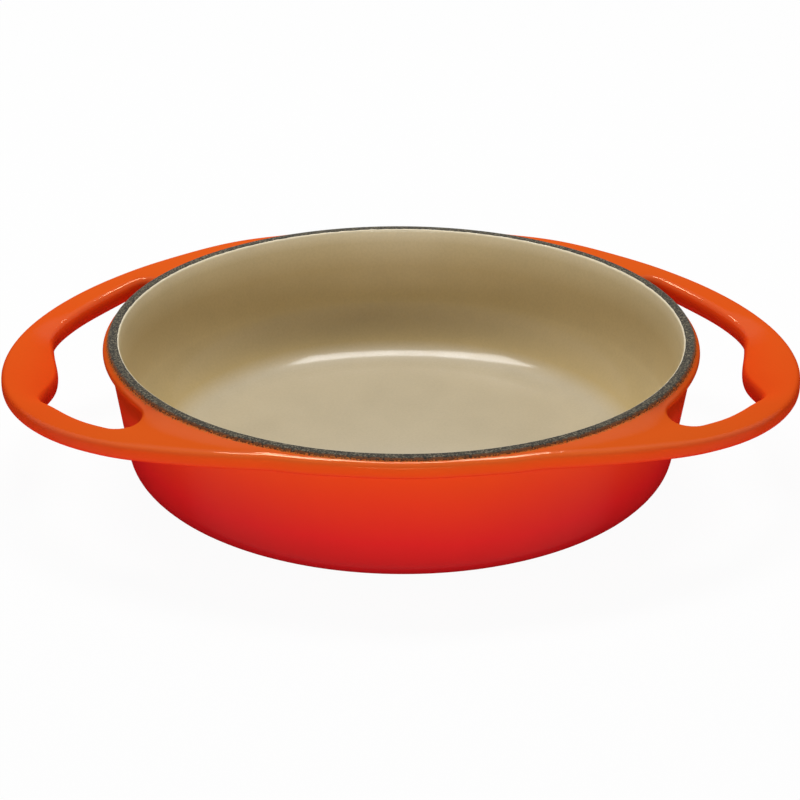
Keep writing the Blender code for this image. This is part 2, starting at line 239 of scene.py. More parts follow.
def hole_edge(angle):
    """The hole's outer edge: a slim arm that widens into the grip, with eased corners."""
    width = ARM_WIDTH + (GRIP_WIDTH - ARM_WIDTH) * lobe(angle / GRIP_ANGLE)
    return outline(angle) - width + CORNER_RELIEF * lobe((angle - CORNER_ANGLE) / CORNER_SPREAD)


def grip_droop(angle):
    """How far the grip's inner half has curled down towards the fingers, from 0 to 1."""
    return lobe(angle / DROOP_ANGLE)


END_RADIUS = 0.5 * (hole_edge(END_ANGLE) - BEAD_REACH)
END_STOP = END_ANGLE + (END_RADIUS + HOLE_ROUND) / (BEAD_REACH + END_RADIUS)
print("the hole's outer edge is", round(hole_edge(0.0) / MM, 1), "mm out at the grip's middle")
print("the hole and its rounded edge end at", round(math.degrees(END_STOP), 1), "degrees")

# %% [markdown]
# ## Outside coat: a cage for a smooth surface
# The outside coat wraps the flange, both handles, the edges of the finger holes and the wall. It
# could be cut from a solid with Booleans, but the rounded hole edges would then need fragile
# bevels. Here a coarse cage of rows and columns is lofted for one quarter, mirrored, and smoothed
# by a Subdivision Surface, which rounds every edge in the way a poured casting is round. The next
# cells give the rows of each part of a section.

# %% Rows down the wall
FOOT_RADIUS = 98.0 * MM
BOTTOM_ROUNDING = 12.0 * MM
BOTTOM_BOW = 0.56
BOTTOM_STEPS = 9
FILLET_CURVE = ((1.0, 0.0), (0.45, 0.2), (0.1, 0.6))  # shares of the fillet: outwards, downwards
FILLET_CLEAR = 1.3
WALL_SHARES = (0.0, 0.12, 0.35, 0.65, 0.88)


def bottom_points():
    """The wall's foot: a curve that is drawn towards the corner, down to the foot ring."""
    start = (outer_wall(BOTTOM_ROUNDING), BOTTOM_ROUNDING)
    corner = (outer_wall(0.0), 0.0)
    end = (FOOT_RADIUS, 0.0)
    pulls = [start, None, None, end]
    pulls[1] = [a + (b - a) * BOTTOM_BOW for a, b in zip(start, corner)]
    pulls[2] = [a + (b - a) * BOTTOM_BOW for a, b in zip(end, corner)]
    points = []
    for i in range(BOTTOM_STEPS + 1):
        t = i / BOTTOM_STEPS
        weights = [(1 - t) ** 3, 3 * (1 - t) ** 2 * t, 3 * (1 - t) * t * t, t ** 3]
        points.append([sum(w * p[k] for w, p in zip(weights, pulls)) for k in (0, 1)])
    return points


def wall_rows(angle, fillet_share):
    """The outside of the wall, from the flange's underside down to the foot ring."""
    height, fillet = flange_foot(angle)
    section = []
    for outwards, downwards in FILLET_CURVE:
        z = height - downwards * fillet
        section.append((outer_wall(z) + outwards * fillet_share * fillet, z))
    top = height - max(FILLET_CLEAR * fillet, 0.5 * UNDER_FILLET)
    for share in WALL_SHARES:
        z = top + (BOTTOM_ROUNDING - top) * share
        section.append((outer_wall(z), z))
    return [at(angle, r, z) for r, z in section + bottom_points()]


print("rows down the wall:", len(wall_rows(1.0, 1.0)))

# %% [markdown]
# ### The bead and the outer edge
# Beside a finger hole the rim ends in a round bead, which stiffens it and leaves no sharp edge for
# the fingers. The flange's outer edge is rounded above and below. Both are arcs, and the few
# points given here are enough, as the subdivision fills in the curve.

# %% Rows of the bead and of the flange's edge
BEAD_RADIUS = 2.4 * MM
BEAD_DROP = 4.8 * MM
BEAD_STEPS = 6
BEAD_FROM, BEAD_TO = 62.0, -58.0
BEAD_CLEAR = 1.25
BEAD_SHARES = (0.0, 0.2, 0.5, 1.0)
EDGE_STEPS = 4


def arc(centre, radius, start, end, steps):
    """Section points (radius, height) on an arc; degrees, 0 pointing outwards."""
    turns = [math.radians(start + (end - start) * i / steps) for i in range(steps + 1)]
    return [(centre[0] + radius * math.cos(t), centre[1] + radius * math.sin(t)) for t in turns]


def bead_rows(angle):
    """The bowl's side of a finger hole: the bead under the rim, then the wall."""
    centre = (BEAD_REACH - BEAD_RADIUS, RIM_HEIGHT - BEAD_DROP)
    section = arc(centre, BEAD_RADIUS, BEAD_FROM, BEAD_TO, BEAD_STEPS)
    foot = flange_foot(angle)[0]
    under = centre[1] - BEAD_CLEAR * BEAD_RADIUS
    for share in BEAD_SHARES:
        z = under + (foot - under) * share
        section.append((outer_wall(z), z))
    return [at(angle, r, z) for r, z in section]


def edge_rows(angle):
    """The flange's rounded outer edge, from its top to its underside."""
    rim = at(angle, outline(angle), 0.0)
    inner = outline(angle) - EDGE_ROUND
    above = (inner, flange_plane(rim.x) - EDGE_ROUND)
    below = (inner, flange_underside(rim) + EDGE_ROUND)
    rows = arc(above, EDGE_ROUND, 90.0, 0.0, EDGE_STEPS)
    rows += arc(below, EDGE_ROUND, 0.0, -90.0, EDGE_STEPS)
    return [at(angle, r, z) for r, z in rows]


print("rows of the bead:", len(bead_rows(0.0)), "and of the edge:", len(edge_rows(0.0)))

# %% [markdown]
# ### The edge of a finger hole
# The hole's edge is bull-nosed: the fingers close round it with the weight of a hot dish on them.
# Its half round is squeezed or stretched to the thickness of the arm or the grip, and in the grip
# it has dropped as the metal curls down. So one rule draws the edge all the way round the hole.

# %% Rows round a finger hole's edge
HOLE_ROWS = 10
HOLE_EDGE = 9.5 * MM
HOLE_FADE = math.radians(9.0)
ARM_DROP = 1.2 * MM
GRIP_DROOP = 6.6 * MM
GRIP_ROUND = 2.0 * MM


def nose_rows(edge, inward):
    """The rounded edge of a finger hole at one place, from its top to its underside."""
    angle = abs(math.atan2(edge.y, edge.x))
    droop = grip_droop(angle)
    rounding = HOLE_ROUND + (GRIP_ROUND - HOLE_ROUND) * droop
    fade = min(max((END_STOP - angle) / HOLE_FADE, 0.0), 1.0)
    drop = ARM_DROP * fade + GRIP_DROOP * droop
    top = flange_top(edge) - drop
    bottom = flange_plane(edge.x) - drop - PLATE_BODY - (HOLE_EDGE - PLATE_BODY) * fade
    rows = []
    for row in range(HOLE_ROWS + 1):
        t = math.pi * row / HOLE_ROWS
        point = edge + inward * (rounding * (1.0 - math.sin(t)))
        z = 0.5 * (top + bottom) + 0.5 * (top - bottom) * math.cos(t)
        rows.append(Vector((point.x, point.y, z)))
    return rows


def arm_normal(angle):
    """Direction from the hole's edge into the arm."""
    step = math.radians(0.5)
    ahead = at(angle + step, hole_edge(abs(angle + step)), 0.0)
    behind = at(angle - step, hole_edge(abs(angle - step)), 0.0)
    along = (ahead - behind).normalized()
    return Vector((along.y, -along.x, 0.0))


grip_nose = nose_rows(at(0.0, hole_edge(0.0), 0.0), arm_normal(0.0))
print("the grip's inner edge is", round((grip_nose[0].z - grip_nose[-1].z) / MM, 1), "mm thick")

# %% [markdown]
# ### The hole's rounded end
# The finger hole divides each section beside it into two: the bowl's side and the arm. They join
# again past the hole's end. A straight cut across would leave a corner there, so the end is a fan
# of short sections set round a half circle, which melt into the bead on the bowl's side.

# %% Sections round the hole's end
TOP_SHARES = [0.05, 0.15, 0.3, 0.47, 0.63, 0.78, 0.92]
END_POINTS = len(TOP_SHARES) - 1
END_FILLET = 0.5  # the fillet under the flange grows from nothing beside the hole


def end_noses():
    """The finger hole's rounded end: one edge section at each place round a half circle."""
    centre = at(END_ANGLE, BEAD_REACH + END_RADIUS, 0.0)
    across = at(END_ANGLE, 1.0, 0.0)
    along = Vector((-across.y, across.x, 0.0))
    noses = []
    for i in range(1, END_POINTS + 1):
        swing = math.pi * (i / (END_POINTS + 1.0) - 0.5)
        inward = across * math.sin(swing) + along * math.cos(swing)
        edge = centre + inward * END_RADIUS
        bead = bead_rows(math.atan2(edge.y, edge.x))
        share = max(0.0, -math.sin(swing)) ** 2
        noses.append([a.lerp(b, share) for a, b in zip(nose_rows(edge, inward), bead)])
    return noses


print("sections round the hole's end:", len(end_noses()))

# %% [markdown]
# ### Full sections
# Past the hole a section runs over the flange's top, round its edge, back along its underside and
# down the wall. The first one has to meet the fan, so it takes its points from the fan's sections.

# %% Full sections past the hole


def middle(inner, outer, lift=0.0):
    """A point halfway across the flange, lifted off the straight line between two others."""
    return inner.lerp(outer, 0.5) + Vector((0.0, 0.0, lift))


def flange_rows(angle, noses):
    """One full section: the flange's top, its edge, its underside and the wall."""
    edge = edge_rows(angle)
    reach = edge[0].xy.length
    top = [at(angle, RIM_OUTER + (reach - RIM_OUTER) * share, 0.0) for share in TOP_SHARES]
    for point in top:
        point.z = flange_top(point)
    wall = wall_rows(angle, END_FILLET if noses else 1.0)
    root = wall[0].xy.length
    under = [at(angle, root + (reach - root) * share, 0.0) for share in TOP_SHARES[:0:-1]]
    for point in under:
        point.z = flange_underside(point)
    under.append(wall[0])
    if noses:
        last = noses[-1]
        top = [nose[0] for nose in noses] + [middle(last[0], edge[0])]
        under = [middle(last[-1], edge[-1])] + [nose[-1] for nose in reversed(noses)]
    start = at(angle, RIM_OUTER, RIM_HEIGHT - RIM_CORNER)
    return [start] + top + edge + under + wall[1:]


print("rows of a full section:", len(flange_rows(0.5 * math.pi, None)))

# %% [markdown]
# ### Joining the sections
# Two neighbouring sections have the same number of rows, so a strip of four-sided faces joins
# them. Points that fall on the same spot share one corner, which keeps the skin free of open seams
# and makes a triangle where two rows run together. The vertices could be merged afterwards, but
# then it would be hard to say which ones were meant to meet.

# %% Join two sections
GRID_STEPS = 1e6  # corners are matched on a grid with this many steps to a metre


def loft(mesh, found, first, second):
    """Faces between two neighbouring sections, the second further round the dish."""
    for a, b, c, d in zip(first, first[1:], second[1:], second):
        corners = []
        for point in (a, b, c, d):
            key = tuple(round(value * GRID_STEPS) for value in point)
            if key not in found:
                found[key] = mesh.verts.new(point)
            if found[key] not in corners:
                corners.append(found[key])
        if len(corners) > 2:
            mesh.faces.new(corners)


print("corners are matched on a grid of", 1.0 / (GRID_STEPS * MM), "mm")

# %% [markdown]
# ### Where the sections stand
# The columns stand closest where the outline changes fastest: round the grip's corners and the
# hole's end. They could be spaced evenly, but then the whole dish would need the finest spacing.

# %% Sections beside and past the hole
GRIP_SHARES = [0.0, 0.16, 0.32, 0.48, 0.63, 0.77, 0.89, 1.0]
ARM_SHARES = [0.12, 0.26, 0.42, 0.6, 0.8, 1.0]
FLANGE_STEPS = 20
MIDDLE_BOW = 0.2


def beside_hole():
    """Sections of the bowl's side and of the arm, from the grip's middle to the hole's end."""
    angles = [GRIP_ANGLE * share for share in GRIP_SHARES]
    angles += [GRIP_ANGLE + (END_ANGLE - GRIP_ANGLE) * share for share in ARM_SHARES]
    sides = []
    arms = []
    for angle in angles:
        start = at(angle, RIM_OUTER, RIM_HEIGHT - RIM_CORNER)
        sides.append([start] + bead_rows(angle) + wall_rows(angle, 0.0)[1:])
        nose = nose_rows(at(angle, hole_edge(angle), 0.0), arm_normal(angle))
        edge = edge_rows(angle)
        above = middle(nose[0], edge[0], MIDDLE_BOW * GRIP_DROOP * grip_droop(angle))
        below = middle(nose[-1], edge[-1])
        arms.append(nose[:1] + [above] + edge + [below] + nose[:0:-1])
    return sides, arms


def past_hole(noses):
    """Full sections from the hole's end to the lip's middle."""
    sections = [flange_rows(END_STOP, noses)]
    for step in range(1, FLANGE_STEPS + 1):
        angle = END_STOP + (0.5 * math.pi - END_STOP) * step / FLANGE_STEPS
        sections.append(flange_rows(angle, None))
    return sections


print("sections beside the hole:", len(beside_hole()[0]), "and past it:", FLANGE_STEPS + 1)

# %% [markdown]
# ### One quarter
# Three strips are lofted first: the bowl's side, the arm's closed loop and the flange past the
# hole. What is left is a gap in the shape of the hole's end, which the last rows close.

# %% Cage of one quarter


def join_hole_end(mesh, found, side, arm, noses, full):
    """Joins the last sections beside the hole, the fan and the first full section."""
    wall_start = len(full) - len(wall_rows(END_STOP, END_FILLET))
    loft(mesh, found, side[:2], full[:2])
    loft(mesh, found, side[1 + HOLE_ROWS:], full[wall_start:])
    crown = full[END_POINTS:wall_start - END_POINTS + 2]
    loft(mesh, found, arm[:len(crown)], crown)
    path = [side[1:HOLE_ROWS + 2]] + noses + [arm[:1] + arm[:len(crown) - 2:-1]]
    for first, second in zip(path, path[1:]):
        loft(mesh, found, first, second)


def outside_cage():
    """The cage of one quarter, from the handle's middle (+X) to the lip's middle (+Y)."""
    mesh = bmesh.new()
    found = {}
    sides, arms = beside_hole()
    for first, second in zip(sides, sides[1:]):
        loft(mesh, found, first, second)
    for first, second in zip(arms, arms[1:]):
        loft(mesh, found, first + first[:1], second + second[:1])
    noses = end_noses()
    sections = past_hole(noses)
    for first, second in zip(sections, sections[1:]):
        loft(mesh, found, first, second)
    join_hole_end(mesh, found, sides[-1], arms[-1], noses, sections[0])
    return mesh


quarter = outside_cage()
print("faces in the quarter's cage:", len(quarter.faces))

# %% [markdown]
# ### From the cage to the coat
# Enamel is under half a millimetre thick, so the coat is the skin, thickened inwards. Modifiers do
# the rest: a mirror makes four quarters of one, and one level of subdivision rounds the cage.
# Every piece of this lesson also says which body it rides on, which part of the measured model it
# stands for, and which finish it wears.

# %% Add the outside coat
COAT = 0.45 * MM
MIRROR_MERGE = 0.01 * MM


def add_piece(name, mesh, node):
    """An object from a bmesh, shaded smooth, that stands for one node of the model."""
    data = bpy.data.meshes.new(name)
    mesh.to_mesh(data)
    mesh.free()
    data.shade_smooth()
    piece = bpy.data.objects.new(name, data)
    bpy.context.scene.collection.objects.link(piece)
    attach(piece, "root")
    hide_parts(node)
    return piece


def thicken(piece, thickness):
    """Gives a skin the thickness of a coat, inwards."""
    coat = piece.modifiers.new("coat", 'SOLIDIFY')
    coat.thickness = thickness
    coat.offset = -1.0


outside_coat = add_piece("outside_coat", quarter, "exterior_enamel")
mirror = outside_coat.modifiers.new("four_quarters", 'MIRROR')
mirror.use_axis = (True, True, False)
mirror.merge_threshold = MIRROR_MERGE
smooth = outside_coat.modifiers.new("rounded_like_a_casting", 'SUBSURF')
smooth.levels = 1
smooth.render_levels = 1
thicken(outside_coat, COAT)
print("outside coat's modifiers:", [modifier.name for modifier in outside_coat.modifiers])

# %% [markdown]
# ## Turned coats and ragged edges
# The other coats are round, so each is one section turned about the middle. A Screw modifier would
# turn a perfect section, but a coat that is wiped or sprayed never ends on a perfect line. So the
# section may change with the angle, and its end wanders by a noise read on a circle: a circle
# closes on itself, and so the edge has no seam.

# %% Turn a section into a coat


def wander(angle, pitch, seed):
    """A smooth random number about 0: one pitch round the rim, and half as much far finer."""
    spot = at(angle, RIM_OUTER / pitch, seed)
    return noise.noise(spot) + 0.5 * noise.noise(spot * 2.3)


def turned_skin(section_at, columns, closed_middle):
    """A skin from a section that may change with the angle; it can end in the middle."""
    mesh = bmesh.new()
    rings = []
    for column in range(columns):
        angle = 2.0 * math.pi * column / columns
        rings.append([mesh.verts.new(at(angle, r, z)) for r, z in section_at(angle)])
    for column, ring in enumerate(rings):
        after = rings[(column + 1) % columns]
        for row in range(len(ring) - 1):
            mesh.faces.new((ring[row], ring[row + 1], after[row + 1], after[row]))
    if closed_middle is not None:
        row, height = closed_middle
        centre = mesh.verts.new((0.0, 0.0, height))
        for column, ring in enumerate(rings):
            pair = [ring[row], rings[(column + 1) % columns][row]]
            mesh.faces.new([centre] + pair if row == 0 else [centre] + pair[::-1])
    return mesh


print("a coat's edge wanders by", [round(wander(0.1 * i, 1.6 * MM, seed=7.0), 2) for i in range(4)])

# %% [markdown]
# ## Inside coat
# The sand-coloured coat covers the floor, a generous round that a spoon can follow, and the wall,
# and it creeps a little way over the rim's inner corner. A turned section fits it well, and the
# creep is the section's last arc, which ends sooner or later as it goes round.

# %% Inside coat
INSIDE_COLUMNS = 360
FLOOR_TOP = 6.4 * MM
FLOOR_FILLET = 30.0 * MM
FLOOR_SHARES = (0.35, 0.65, 0.85, 0.95)
FILLET_STEPS = 20
UPPER_WALL_SHARES = (0.1, 0.3, 0.6, 0.85, 0.95)
INSIDE_PROUD = 0.05 * MM
INSIDE_END = 122.0
INSIDE_WANDER = 10.0
INSIDE_PITCH = 2.5 * MM
CREEP_STEPS = 4


def inside_section(angle):
    """From the floor up the wall and a little way over the rim's inner corner."""
    fillet_top = FLOOR_TOP + FLOOR_FILLET * (1.0 - math.sin(WALL_LEAN))
    round_radius = inner_wall(fillet_top) - FLOOR_FILLET * math.cos(WALL_LEAN)
    section = [(round_radius * share, FLOOR_TOP) for share in FLOOR_SHARES]
    centre = (round_radius, FLOOR_TOP + FLOOR_FILLET)
    section += arc(centre, FLOOR_FILLET, -90.0, -math.degrees(WALL_LEAN), FILLET_STEPS)
    wall_top = RIM_HEIGHT - RIM_CORNER
    for share in UPPER_WALL_SHARES:
        z = fillet_top + (wall_top - fillet_top) * share
        section.append((inner_wall(z), z))
    end = INSIDE_END + INSIDE_WANDER * wander(angle, INSIDE_PITCH, seed=3.0)
    corner = (RIM_INNER + RIM_CORNER, wall_top)
    return section + arc(corner, RIM_CORNER + INSIDE_PROUD, 180.0, end, CREEP_STEPS)


inside_mesh = turned_skin(inside_section, INSIDE_COLUMNS, (0, FLOOR_TOP))
inside_coat = add_piece("inside_coat", inside_mesh, "interior_enamel")
thicken(inside_coat, COAT)
print("inside coat faces:", len(inside_coat.data.polygons))

# %% [markdown]
# ## Ground coat on the rim
# The rim's flat top keeps only the first, dark coat, as the colours are wiped off it before they
# are fired. It could be a painted stripe, but it is a piece of its own, with two rounded corners.
# It is turned like the inside coat and tucks under both neighbours, so that no gap can open.

# %% Ground coat on the rim
RIM_COLUMNS = 360
RIM_STEPS = 8


def rim_section(angle):
    """The bare band: a flat top between two rounded corners, tucked under both neighbours."""
    height = RIM_HEIGHT - RIM_CORNER
    inner = RIM_INNER + RIM_CORNER
    flat = RIM_OUTER - RIM_INNER - 2.0 * RIM_CORNER
    section = arc((inner, height), RIM_CORNER, 190.0, 90.0, RIM_STEPS)
    section += [(inner + flat * share, RIM_HEIGHT) for share in (0.33, 0.67)]
    return section + arc((RIM_OUTER - RIM_CORNER, height), RIM_CORNER, 90.0, -20.0, RIM_STEPS)


rim_mesh = turned_skin(rim_section, RIM_COLUMNS, None)
rim_band = add_piece("rim_band", rim_mesh, "rim_ground_coat")
thicken(rim_band, COAT)
print("rim band faces:", len(rim_band.data.polygons))

# %% [markdown]
# ## Ragged edge of the outside coat
# The orange is wiped off the rim before firing and leaves a torn line along the outer corner. A
# jagged mask in the material would look flat up close, so the line is geometry: a thin strip over
# the corner, whose upper edge wanders in fine teeth and, less, in long waves.

# %% Ragged edge of the outside coat
EDGE_COLUMNS = 1440
EDGE_END = 12.0
EDGE_LEAST = 2.0
EDGE_FOOT = -18.0
TEETH = 26.0
TEETH_PITCH = 1.6 * MM
WAVES = 14.0
WAVES_PITCH = 9.0 * MM
EDGE_PROUD = 0.07 * MM
EDGE_TUCK = 0.02 * MM
EDGE_LEAD = 3.0
EDGE_THICKNESS = 0.12 * MM


def edge_section(angle):
    """The outside coat's last millimetre, which creeps over the rim's outer corner."""
    end = EDGE_END + TEETH * wander(angle, TEETH_PITCH, seed=7.0)
    end = max(end + WAVES * wander(angle, WAVES_PITCH, seed=1.0), EDGE_LEAST)
    centre = (RIM_OUTER - RIM_CORNER, RIM_HEIGHT - RIM_CORNER)
    tucked = arc(centre, RIM_CORNER - EDGE_TUCK, end + EDGE_LEAD, 0.0, 1)[:1]
    return tucked + arc(centre, RIM_CORNER + EDGE_PROUD, end, EDGE_FOOT, CREEP_STEPS)


edge_mesh = turned_skin(edge_section, EDGE_COLUMNS, None)
coat_edge = add_piece("outside_coat_edge", edge_mesh, "exterior_enamel")
thicken(coat_edge, EDGE_THICKNESS)
print("ragged edge faces:", len(coat_edge.data.polygons))

# %% [markdown]
# ## Base coat
# Under the dish a flat foot ring carries it, so that the middle stays clear of the table. Nothing
# there is fine or ragged, and a plain turned section with a soft step is enough.

# %% Base coat
BASE_COLUMNS = 128
FOOT_WIDTH = 8.0 * MM
FOOT_STEP = 1.2 * MM
STEP_CURVE = ((0.0, 0.0), (0.5, 0.1), (1.0, 0.35), (1.6, 0.85), (2.2, 1.0))  # inwards, upwards


def base_section(angle):
    """The foot ring's flat, then the small step up to the recess."""
    inner = FOOT_RADIUS - FOOT_WIDTH
    step = [(inner - inwards * FOOT_STEP, upwards * FOOT_STEP) for inwards, upwards in STEP_CURVE]
    return [(FOOT_RADIUS, 0.0)] + step + [(0.5 * inner, FOOT_STEP)]


last_row = len(base_section(0.0)) - 1
base_mesh = turned_skin(base_section, BASE_COLUMNS, (last_row, FOOT_STEP))
base_coat = add_piece("base_coat", base_mesh, "base_enamel")
thicken(base_coat, COAT)
print("base coat faces:", len(base_coat.data.polygons))

# %% [markdown]
# ## A small workbench for finishes
# Every finish is a Principled shader fed by a few nodes. Nodes could be wired one by one, but then
# the wiring hides the recipe. A bench with short calls leaves only what matters to read: which
# pattern, at which size, drives which property. Colours are written as they look on a screen.

# %% Colours and the bench


def seen(red, green, blue):
    """A colour as it looks on a screen, 0 to 255, turned into the light that a shader uses."""
    light = []
    for value in (red / 255.0, green / 255.0, blue / 255.0):
        light.append(value / 12.92 if value <= 0.04045 else ((value + 0.055) / 1.055) ** 2.4)
    return (*light, 1.0)


class Bench:
    """A material with its Principled shader, and calls that add nodes and join them."""

    def __init__(self, name):
        self.material = bpy.data.materials.new(name)
        self.material.use_nodes = True
        self.tree = self.material.node_tree
        self.shader = self.tree.nodes["Principled BSDF"]

    def plug(self, value, socket):
        """Sets a socket to a number or joins it to another node's output."""
        if isinstance(value, bpy.types.NodeSocket):
            self.tree.links.new(value, socket)
        else:
            socket.default_value = value

    def node(self, kind, *values, **settings):
        """A node of a kind, with its settings, and values for its inputs in their order."""
        node = self.tree.nodes.new("ShaderNode" + kind)
        for name, setting in settings.items():
            setattr(node, name, setting)
        for value, socket in zip(values, node.inputs):
            self.plug(value, socket)
        return node

    def set(self, **values):
        """Sets or joins the shader's own sockets; an underscore stands for a space."""
        for name, value in values.items():
            socket = name.replace("_", " ").title().replace("Ior", "IOR")
            self.plug(value, self.shader.inputs[socket])


print("a mid grey on a screen is", round(seen(128, 128, 128)[0], 3), "in light")

# %% [markdown]
# ### Patterns
# All patterns are read in the dish's own frame, in metres, so that a grain of a millimetre is a
# millimetre everywhere and nothing swims when the camera moves.

# %% Patterns and sums


class Patterns(Bench):
    """A bench that reads the place on the dish, with noise and sums."""

    def __init__(self, name):
        super().__init__(name)
        self.place = self.node("TexCoord").outputs["Object"]
        self.facing = self.place.node.outputs["Normal"]

    def math(self, operation, a, b=0.0, c=0.0):
        """One sum or comparison."""
        return self.node("Math", a, b, c, operation=operation).outputs[0]

    def axis(self, vector, name):
        """One of X, Y and Z of a vector."""
        return self.node("SeparateXYZ", vector).outputs[name]

    def grain(self, size, detail=2.0, roughness=0.5):
        """Noise between 0 and 1 with features of a given size in metres."""
        node = self.node("TexNoise", self.place)
        node.inputs["Scale"].default_value = 1.0 / size
        node.inputs["Detail"].default_value = detail
        node.inputs["Roughness"].default_value = roughness
        return node.outputs["Fac"]

    def spread(self, value, low, high, to_low=0.0, to_high=1.0):
        """Maps low..high to another range, with soft ends."""
        node = self.node("MapRange", value, low, high, to_low, to_high,
                         interpolation_type='SMOOTHSTEP')
        return node.outputs[0]

    def radius(self):
        """Distance from the dish's middle line."""
        flat = self.node("VectorMath", self.place, (1.0, 1.0, 0.0), operation='MULTIPLY')
        return self.node("VectorMath", flat.outputs[0], operation='LENGTH').outputs["Value"]


print("patterns on the bench:", sorted(name for name in vars(Patterns) if name[0] != "_"))

# %% [markdown]
# ### Colour and relief
# What a pattern drives is a mix of two colours, a ramp through several, or a fine relief. Relief
# of this size is bump, as it is far thinner than any mesh could usefully carry.

# %% Colours and relief


class Finish(Patterns):
    """A bench that also mixes colours and adds fine relief."""

    def mix(self, share, a, b, kind='MIX'):
        """A mix of two colours."""
        node = self.node("Mix", share, data_type='RGBA', blend_type=kind)
        self.plug(a, node.inputs[6])
        self.plug(b, node.inputs[7])
        return node.outputs[2]

    def ramp(self, value, stops):
        """Colours along a scale from 0 to 1."""
        node = self.node("ValToRGB", value)
        scale = node.color_ramp.elements
        while len(scale) < len(stops):
            scale.new(0.5)
        for element, (position, colour) in zip(scale, stops):
            element.position = position
            element.color = colour
        return node.outputs[0]

    def bump(self, height, depth, under=None):
        """Relief of a given depth in metres, over an earlier relief if there is one."""
        node = self.node("Bump")
        node.inputs["Strength"].default_value = 1.0
        node.inputs["Distance"].default_value = depth
        self.plug(height, node.inputs["Height"])
        if under is not None:
            self.plug(under, node.inputs["Normal"])
        return node.outputs[0]


def finish_piece(piece, finish):
    """Gives a piece one finish."""
    piece.data.materials.clear()
    piece.data.materials.append(finish.material)


print("colours and relief on the bench:", sorted(name for name in vars(Finish) if name[0] != "_"))

# %% [markdown]
# ## Flame enamel: the colour
# The outside is sprayed red first and orange last, so the upper dish is orange and the wall deepens
# to red lower down. On top of that, the colour turns a darker red where the surface faces down,
# under the flange and in the holes, which is painted shade. An image could be painted, but the
# colour is simply a matter of height and of how far the surface faces up. Both are read in the
# dish's own frame, so the colour stays put from every side, and a broad noise keeps the blend
# uneven, as spray is.

# %% Flame enamel: sprayed colour and painted shade
SPRAY_AND_SHADE_REACH = 18.0 * MM
SCALE_LOW = 4.0 * MM
SCALE_HIGH = 74.0 * MM
BLOTCH_SIZE = 45.0 * MM
BLOTCH_REACH = 8.0 * MM

flame = Finish("flame_enamel")
height = flame.axis(flame.place, "Z")
upward = flame.axis(flame.facing, "Z")
broad = flame.grain(BLOTCH_SIZE, 3.0)
blotch = flame.math('MULTIPLY_ADD', broad, BLOTCH_REACH, -0.5 * BLOTCH_REACH)
# the facing-up term paints shade: what faces down is pushed towards a darker red
reach = flame.math('ADD', flame.math('MULTIPLY_ADD', upward, SPRAY_AND_SHADE_REACH, height), blotch)
scale = flame.math('DIVIDE', flame.math('SUBTRACT', reach, SCALE_LOW), SCALE_HIGH - SCALE_LOW)
sprayed_and_shaded = flame.ramp(scale, [
    (0.0, seen(202, 30, 34)),
    (0.22, seen(227, 36, 36)),
    (0.5, seen(232, 57, 29)),
    (0.75, seen(232, 74, 22)),
    (1.0, seen(227, 93, 30)),
])
print("flame enamel's blend takes", len(flame.tree.nodes), "nodes so far")

# %% [markdown]
# ## Flame enamel: thin at the rim
# Where the orange runs out at the rim it is thin and burnt: paler brown patches, then dark specks
# of the coat below. Both are fine noises that are only let through in a narrow band, which is
# found from the distance to the middle and the height.

# %% Flame enamel: thin at the rim
THIN_FROM, THIN_TO = RIM_OUTER - 0.6 * MM, RIM_OUTER + 2.2 * MM
THIN_LOW, THIN_HIGH = RIM_HEIGHT - 4.0 * MM, RIM_HEIGHT - 1.4 * MM
THIN_PULL, SPOT_PULL = 0.46, 0.36

near_rim = flame.spread(flame.radius(), THIN_FROM, THIN_TO, 1.0, 0.0)
near_rim = flame.math('MULTIPLY', near_rim, flame.spread(height, THIN_LOW, THIN_HIGH))
speckle = flame.grain(1.1 * MM, 2.0, 0.6)
speckle = flame.math('ADD', speckle, flame.math('MULTIPLY', near_rim, THIN_PULL))
thin = flame.math('MULTIPLY', flame.spread(speckle, 0.62, 0.8), near_rim)
burnt = flame.mix(flame.grain(2.4 * MM), seen(130, 66, 30), seen(226, 140, 70))
fleck = flame.grain(0.8 * MM, 1.0)
fleck = flame.math('ADD', fleck, flame.math('MULTIPLY', near_rim, SPOT_PULL))
spots = flame.math('MULTIPLY', flame.spread(fleck, 0.78, 0.88), near_rim)
colour = flame.mix(thin, sprayed_and_shaded, burnt)
colour = flame.mix(spots, colour, seen(62, 48, 38))
print("the thin band is", round((THIN_TO - THIN_FROM) / MM, 1), "mm wide")

# %% [markdown]
# ## Flame enamel: gloss and relief
# Fired enamel flows, so it has long, shallow waves and a very fine peel, both made with bump as
# they are far thinner than the coat. Its gloss is faintly warm, as glass over orange is. The gloss
# fades where the surface turns down or is seen edge-on, as the white floor would otherwise wash
# the red out, and at the rim, where the coat is thin.

# %% Flame enamel: gloss and relief
FLAME_ROUGHNESS = 0.06
GLOSS = 0.3
GLOSS_FULL, GLOSS_GONE = 0.28, 0.54

flow = flame.bump(flame.grain(16.0 * MM, 2.0), 0.25 * MM)
peel = flame.bump(flame.grain(2.2 * MM, 1.0), 0.012 * MM, flow)
grazing = flame.node("LayerWeight", 0.5).outputs["Facing"]  # 1 where it is seen edge-on
gloss = flame.spread(grazing, GLOSS_FULL, GLOSS_GONE, GLOSS, 0.0)
gloss = flame.math('MULTIPLY', gloss, flame.spread(upward, 0.1, 0.8, 0.2, 1.0))
dull = flame.math('SUBTRACT', 1.0, flame.math('MULTIPLY', near_rim, 0.9))
gloss = flame.math('MULTIPLY', gloss, dull)
flame.set(base_color=colour, roughness=FLAME_ROUGHNESS, specular_ior_level=gloss,
          specular_tint=seen(255, 202, 146), normal=peel)
finish_piece(outside_coat, flame)
finish_piece(coat_edge, flame)
print("flame enamel nodes:", len(flame.tree.nodes))
